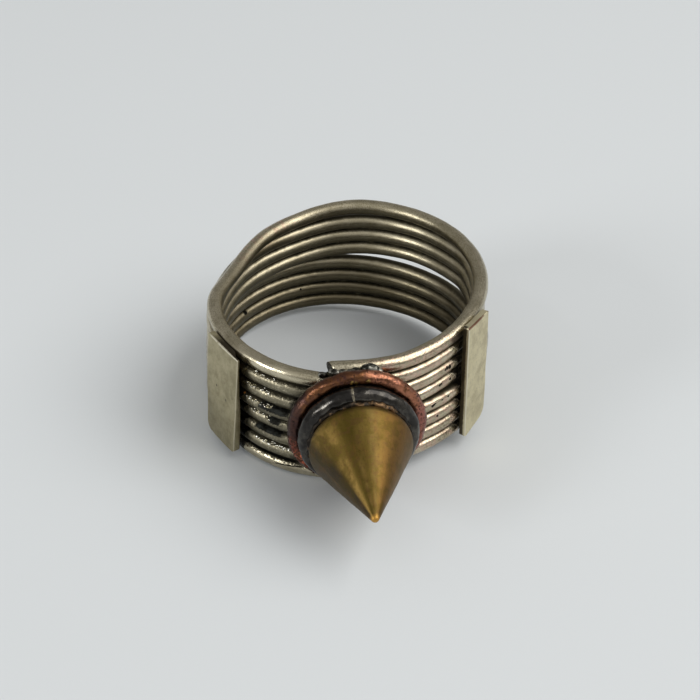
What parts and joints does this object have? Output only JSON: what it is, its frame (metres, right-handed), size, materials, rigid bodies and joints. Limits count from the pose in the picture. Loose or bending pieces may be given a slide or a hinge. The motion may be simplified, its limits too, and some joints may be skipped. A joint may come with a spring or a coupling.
{
  "type": "statement ring",
  "caption": "Finger ring of soldered round wire turns, with flat plates over the turns and a pointed cone held in two wire rings on the front.",
  "frame": {"origin": "axis of the finger hole, on the surface that the ring lies on", "axes": "+Z along the axis of the finger hole, up out of the ring as it lies; the cone points towards -Y"},
  "size_m": [0.0194, 0.0293, 0.0098],
  "materials": {
    "wire": "worn nickel silver wire, tarnished in the grooves",
    "plate": "dull nickel silver sheet with fine wear",
    "copper": "tarnished copper, brighter on its crown",
    "blackened": "blackened wire with a soft gloss",
    "golden": "satin golden-brown brass with long dark streaks"
  },
  "bodies": {
    "root": {"wire_coil": "wire", "left_plate": "plate", "right_plate": "plate", "copper_ring": "copper", "dark_ring": "blackened", "cone": "golden"}
  },
  "joints": []
}
